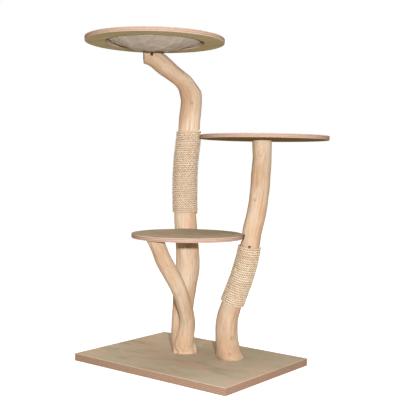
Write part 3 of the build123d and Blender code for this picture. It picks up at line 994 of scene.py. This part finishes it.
@dataclass
class Hammock:
    """A round canvas sheet that sags in the ring's hole, with its hem stapled on the ring."""

    node: str = "hammock_cloth"
    name: str = "hammock_canvas"
    hole_radius: float = 171.5 * MM
    hem: float = 17.5 * MM
    sag: float = 38.5 * MM
    thickness: float = 1.3 * MM
    staples: int = 28
    rings: int = 96
    spokes: int = 252
    seed: int = 5
    air: float = 0.15 * MM
    tuck: float = 1.5 * MM
    first_staple: float = math.radians(5)
    soft_swell: float = 2.0 * MM
    long_swell: float = 1.5 * MM
    fold_height: float = 3.4 * MM
    pleat_height: float = 2.4 * MM
    crispness: int = 6
    scallop: float = 0.9 * MM
    scallop_reach: float = 0.13
    hem_lift: float = 0.25 * MM
    hem_draw: float = 1.2 * MM

    def build(self, canvas: Canvas) -> bpy.types.Object:
        """Build the canvas.

        Args:
            canvas: its finish.

        Returns:
            The finished piece.
        """
        rows, faces = self.surface()
        area = self.flat_area(rows, faces)
        mesh = bpy.data.meshes.new(self.name)
        mesh.from_pydata(rows, [], faces)
        piece = new_piece(self.name, mesh)
        self.thicken(piece)
        shade_smooth(piece.data, 60)
        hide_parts(self.node)
        low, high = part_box(self.node)
        middle = ((low[0] + high[0]) / 2, (low[1] + high[1]) / 2)
        dress(piece, replace(canvas, middle=middle).material())
        return piece

    def surface(self) -> tuple[np.ndarray, list]:
        """The sheet's middle surface as one row of vertices to each ring."""
        low, high = (np.array(corner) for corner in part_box(self.node))
        centre = (low + high) / 2
        top = high[2]
        reach = self.hole_radius + self.hem
        part = np.linspace(0, 1, self.rings + 1)[1:]
        radius = reach * part
        theta = np.linspace(0, 2 * math.pi, self.spokes, endpoint=False)
        rad, ang = np.meshgrid(radius, theta, indexing="ij")
        noise = SoftNoise(self.seed)
        edge = self.hole_radius - self.tuck
        inside = np.clip(rad / edge, 0, 1)
        sphere = (edge ** 2 + self.sag ** 2) / (2 * self.sag)
        bowl = sphere - np.sqrt(sphere ** 2 - (np.minimum(rad, edge)) ** 2)
        level = top - self.thickness / 2 - self.air
        height = level - self.sag + bowl
        flat_places = np.column_stack([(rad * np.cos(ang)).ravel(), (rad * np.sin(ang)).ravel(),
                                       np.zeros(rad.size)])
        soft = noise.at(flat_places / (70 * MM) + 4).reshape(rad.shape)
        creased = noise.at(flat_places / (34 * MM, 80 * MM, 1) + 9).reshape(rad.shape)
        turned = flat_places[:, [1, 0, 2]] + flat_places * (0.5, -0.5, 0)
        folds = 1 - np.abs(noise.at(turned / (42 * MM, 120 * MM, 1) + 2)).reshape(rad.shape)
        pleats = 1 - np.abs(noise.at(flat_places / (30 * MM, 75 * MM, 1) + 6)).reshape(rad.shape)
        pull = np.cos(self.staples * (ang - self.first_staple))
        wander = noise.at(np.column_stack([np.cos(ang).ravel() * 4, np.sin(ang).ravel() * 4,
                                           np.full(rad.size, 0.5)])).reshape(rad.shape)
        near_edge = np.exp(-((1 - inside) / self.scallop_reach) ** 2) * (rad < edge)
        free = smooth_step(1 - inside, 0.0, 0.12)
        height += free * (self.soft_swell * soft + self.long_swell * creased
                          - self.fold_height * folds ** self.crispness
                          - self.pleat_height * pleats ** self.crispness)
        height -= near_edge * (self.scallop * (1 - pull) * (0.6 + 0.8 * wander))
        outer = rad >= edge
        hem = smooth_step(rad, edge, reach)
        height = np.where(outer, level + self.hem_lift * (1 - pull) * hem, height)
        wavy = np.where(outer, rad - self.hem_draw * hem * (0.5 - 0.5 * pull), rad)
        rows = np.column_stack([(centre[0] + wavy * np.cos(ang)).ravel(),
                                (centre[1] + wavy * np.sin(ang)).ravel(), height.ravel()])
        middle = np.array([[centre[0], centre[1], level - self.sag]])
        rows = np.vstack([rows, middle])
        n = self.spokes
        faces = [(ring * n + k, (ring + 1) * n + k, (ring + 1) * n + (k + 1) % n, ring * n + (k + 1) % n)
                 for ring in range(self.rings - 1) for k in range(n)]
        faces += [(len(rows) - 1, k, (k + 1) % n) for k in range(n)]
        return rows, faces

    def flat_area(self, rows: np.ndarray, faces: list) -> float:
        """The sheet's area in square metres."""
        total = 0.0
        for face in faces:
            corners = rows[list(face)]
            for k in range(1, len(face) - 1):
                total += np.linalg.norm(np.cross(corners[k] - corners[0], corners[k + 1] - corners[0])) / 2
        return float(total)

    def thicken(self, piece: bpy.types.Object) -> None:
        """Give the sheet its thickness."""
        solid = piece.modifiers.new("thickness", "SOLIDIFY")
        solid.thickness = self.thickness
        solid.offset = 0
        solid.use_even_offset = True
        mesh = bpy.data.meshes.new_from_object(piece.evaluated_get(bpy.context.evaluated_depsgraph_get()))
        piece.modifiers.clear()
        piece.data = mesh


# ---- studio ----------------------------------------------------------------------------------


@dataclass
class Studio:
    """The floor, the light and the camera."""

    camera_at: Point = (1.7884, -2.2178, 0.7304)
    azimuth: float = 37.74
    pitch: float = 3.06
    roll: float = 0.84
    lens: float = 67.07
    key_power: float = 106.0
    ceiling_power: float = 46.0
    ceiling_size: float = 2.4
    ceiling_height: float = 3.2
    key_size: float = 0.06
    key_lift: float = 0.145
    key_shift: float = 0.15
    key_colour: Colour = (0.985, 1.015, 1.06)
    world: float = 0.5
    world_colour: Colour = (1.0, 0.86, 0.66)
    floor_size: float = 40.0
    backdrop_radius: float = 18.0

    def build(self) -> None:
        """Set up the floor, the world, the lights and the camera."""
        self.lay_floor()
        self.hang_backdrop()
        self.light_world()
        camera = self.set_camera()
        self.add_light("key", self.key_power, self.key_colour, self.key_size,
                       Matrix.Translation((0, 0, self.key_lift)) @ camera.matrix_world
                       @ Matrix.Translation((self.key_shift, 0, 0)))
        self.add_light("ceiling", self.ceiling_power, (1.0, 1.0, 1.0), self.ceiling_size,
                       Matrix.Translation((0, 0, self.ceiling_height)))
        scene = bpy.context.scene
        scene.camera = camera
        scene.view_settings.view_transform = "Standard"

    def lay_floor(self) -> None:
        """A plain pale floor."""
        half = self.floor_size / 2
        mesh = bpy.data.meshes.new("floor")
        corners = [(-half, -half, 0), (half, -half, 0), (half, half, 0), (-half, half, 0)]
        mesh.from_pydata(corners, [], [(0, 1, 2, 3)])
        floor = bpy.data.objects.new("floor", mesh)
        bpy.context.scene.collection.objects.link(floor)
        mesh.materials.append(PaleFloor().material())
        self.keep_from_lighting(floor)

    def hang_backdrop(self) -> None:
        """A plain white backdrop all round, which only the camera sees."""
        shell = bmesh.new()
        bmesh.ops.create_icosphere(shell, subdivisions=5, radius=self.backdrop_radius)
        mesh = bpy.data.meshes.new("backdrop")
        shell.to_mesh(mesh)
        shell.free()
        backdrop = bpy.data.objects.new("backdrop", mesh)
        bpy.context.scene.collection.objects.link(backdrop)
        nodes = Nodes("white_backdrop")
        nodes.add_output(nodes.add("ShaderNodeEmission", {}, {"Color": (1.0, 1.0, 1.0)}))
        mesh.materials.append(nodes.material)
        backdrop.visible_shadow = False
        self.keep_from_lighting(backdrop)

    def keep_from_lighting(self, stage: bpy.types.Object) -> None:
        """Stop a part of the stage from throwing light on the cat tree."""
        stage.visible_diffuse = False
        stage.visible_glossy = False

    def light_world(self) -> None:
        """Even warm light from all round."""
        world = bpy.data.worlds.new("studio")
        world.use_nodes = True
        background = world.node_tree.nodes["Background"]
        background.inputs["Color"].default_value = (*self.world_colour, 1.0)
        background.inputs["Strength"].default_value = self.world
        bpy.context.scene.world = world

    def set_camera(self) -> bpy.types.Object:
        """The camera, turned by its azimuth, pitch and roll."""
        azimuth, pitch, roll = (math.radians(a) for a in (self.azimuth, self.pitch, self.roll))
        back = Vector((math.sin(azimuth) * math.cos(pitch), -math.cos(azimuth) * math.cos(pitch),
                       math.sin(pitch)))
        level = Vector((math.cos(azimuth), math.sin(azimuth), 0))
        up = back.cross(level)
        right = level * math.cos(roll) + up * math.sin(roll)
        upward = up * math.cos(roll) - level * math.sin(roll)
        data = bpy.data.cameras.new("camera")
        data.lens = self.lens
        data.sensor_width = 36
        camera = bpy.data.objects.new("camera", data)
        turn = Matrix((right, upward, back)).transposed().to_4x4()
        camera.matrix_world = Matrix.Translation(self.camera_at) @ turn
        bpy.context.scene.collection.objects.link(camera)
        return camera

    def add_light(self, name: str, power: float, colour: Colour, size: float, place: Matrix) -> None:
        """Add a round area light.

        Args:
            name: its name.
            power: its power in watts.
            colour: its colour.
            size: its diameter in metres.
            place: where it is and how it is turned.
        """
        data = bpy.data.lights.new(name, "AREA")
        data.shape = "DISK"
        data.size = size
        data.energy = power
        data.color = colour
        light = bpy.data.objects.new(name, data)
        light.matrix_world = place
        bpy.context.scene.collection.objects.link(light)


# ---- the whole cat tree ----------------------------------------------------------------------

STEM = Spine(((-60, 40, 27, 48), (-71, 42, 66, 43.5), (-80, 46, 118, 41.5), (-88, 59, 195, 40.5),
              (-91, 72, 262, 43.5), (-89, 84, 335, 45.5), (-96, 88, 430, 43.5), (-102, 85, 512, 43.5),
              (-98, 74, 600, 41.5), (-90, 64, 680, 41), (-77, 53, 755, 41), (-61, 46, 835, 39.5),
              (-54, 45, 915, 40), (-49, 46, 970, 39.5), (-53, 42.5, 1008, 40.5), (-73, 27, 1045, 32),
              (-105, 2, 1077, 31.5), (-138, -24, 1110, 34.5), (-168, -47, 1138, 36.5),
              (-206, -76, 1169, 38.5)))
FRONT = Spine(((-54, 38, 33, 38), (-40, 23, 118, 31.5), (-20, -3, 182, 28.5), (-6, -39, 235, 28),
               (4, -79, 288, 28), (8, -122, 340, 29), (13, -174, 402, 28.5), (24, -228, 470, 28.5),
               (28, -248, 496, 28.5)))
POST = Spine(((131, 76, 27, 46.5), (124, 62, 76, 42.5), (123, 55, 122, 41), (128, 51, 168, 39.5),
              (144, 51, 222, 37.5), (179, 58, 315, 36.8), (199, 61, 378, 35.8), (213, 62, 436, 34.8),
              (221, 65, 490, 34.6), (226, 84, 563, 34.6), (222, 106, 628, 34.8), (208, 137, 706, 35.2),
              (201, 153, 762, 35.3), (190, 167, 840, 35.6)))

RED_EDGE = {"edge": shade(168, 138, 118), "edge_dark": shade(120, 91, 72)}
# Painted light and shade on undersides: the ring's is painted paler, as if lit from below, and the middle
# platform's brown, as if left in shade.
PAINTED_LIT_UNDERSIDE = {"under": shade(185, 173, 138), "under_dark": shade(166, 154, 119)}
PAINTED_SHADED_UNDERSIDE = {"under": shade(138, 115, 68), "under_dark": shade(122, 100, 54)}
TRUNK_WOOD = {"pale": shade(207, 186, 162), "warm": shade(195, 163, 133), "rose": shade(196, 159, 136)}
TRUNK_KNOTS = (Knot((-22, 17, 964), 3.6, 0.4, 0.95), Knot((-115, 20, 300), 6, 1.0, 0.3),
               Knot((-78, 12, 700), 5, 0.6))
POST_KNOTS = (Knot((155, 35, 52), 4, 0.8, 0.3), Knot((160, 38, 110), 5, 0.8, 0.15),
              Knot((232, 65, 614), 4, 0.5, 0.1), Knot((160, 92, 260), 7, 1.2))
MAIN_ROPE = RopeWrap("main_rope_wrap", "main_rope", STEM, (-99, 79, 548), (-58, 45, 864),
                     (0.79, 0.61, 0), (0.79, 0.61, 0), Turns.LEVEL, 31)
RIGHT_ROPE = RopeWrap("right_rope_wrap", "right_rope", POST, (146, 51, 236), (216, 62, 450),
                      (-0.75, -0.6, 0.26), (0.77, 0.6, -0.2), Turns.SQUARE, 37)
PLIES = (("base_board", 9, RED_EDGE), ("lower_platform", 5, {}), ("top_ring", 5, PAINTED_LIT_UNDERSIDE),
         ("middle_platform", 5, PAINTED_SHADED_UNDERSIDE))
# Painted shade: these sunk screws get near-black steel, standing for the shade in their holes instead of
# bright zinc.
SCREWS_IN_PAINTED_SHADE = ("pocket_screw", "post_edge_screw", "stem_edge_screw", "trunk_edge_screw")


@dataclass
class CatTree:
    """The whole cat tree."""

    frame: dict[str, Any]
    wood: PeeledWood = field(default_factory=PeeledWood)
    sisal: Sisal = field(default_factory=Sisal)
    canvas: Canvas = field(default_factory=Canvas)
    steel: ZincSteel = field(default_factory=ZincSteel)
    # Near-black steel as painted shade for sunk screws.
    shade_steel: ZincSteel = ZincSteel("steel_painted_as_hole_shade", (0.1, 0.088, 0.075), (0.05, 0.043, 0.036))

    def build(self) -> None:
        """Build every piece and report it."""
        trunk = Branch("forked_trunk", "trunk_wood", (STEM, FRONT), 11, TRUNK_KNOTS).build(
            self.frame, replace(self.wood, **TRUNK_WOOD))
        self.report(trunk)
        post = Branch("right_post", "right_post_wood", (POST,), 23, POST_KNOTS).build(self.frame, self.wood)
        self.report(post)
        for wrap, branch in ((MAIN_ROPE, trunk), (RIGHT_ROPE, post)):
            self.report(wrap.build(branch, self.sisal))
        self.report(Hammock().build(self.canvas))
        for ply in self.plywood():
            self.dress_node(ply.name, ply.material())
        steel, shade_steel = self.steel.material(), self.shade_steel.material()
        for name in self.frame["nodes"]:
            if name in SCREWS_IN_PAINTED_SHADE:
                self.dress_node(name, shade_steel)
            elif name.endswith(("screw", "screws", "staples", "washers")):
                self.dress_node(name, steel)

    def plywood(self) -> tuple[Plywood, ...]:
        """The finishes of the four plywood pieces."""
        made = []
        for name, plies, tint in PLIES:
            low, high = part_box(name)
            made.append(Plywood(name, low[2], high[2] - low[2], plies, **tint))
        return tuple(made)

    def dress_node(self, name: str, material: bpy.types.Material) -> None:
        """Give a CAD node its material."""
        node = self.frame["nodes"][name]
        node.data.materials.clear()
        node.data.materials.append(material)
        self.report(node)

    def report(self, piece: bpy.types.Object) -> None:
        """Log a finished piece."""
        LOG.info("%s: %d vertices", piece.name, len(piece.data.vertices))


def main() -> None:
    """Build the cat tree and its studio."""
    logging.basicConfig(level=logging.INFO, format="%(message)s", stream=sys.stdout)
    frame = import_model()
    CatTree(frame).build()
    Studio().build()


if __name__ == "__main__":
    main()
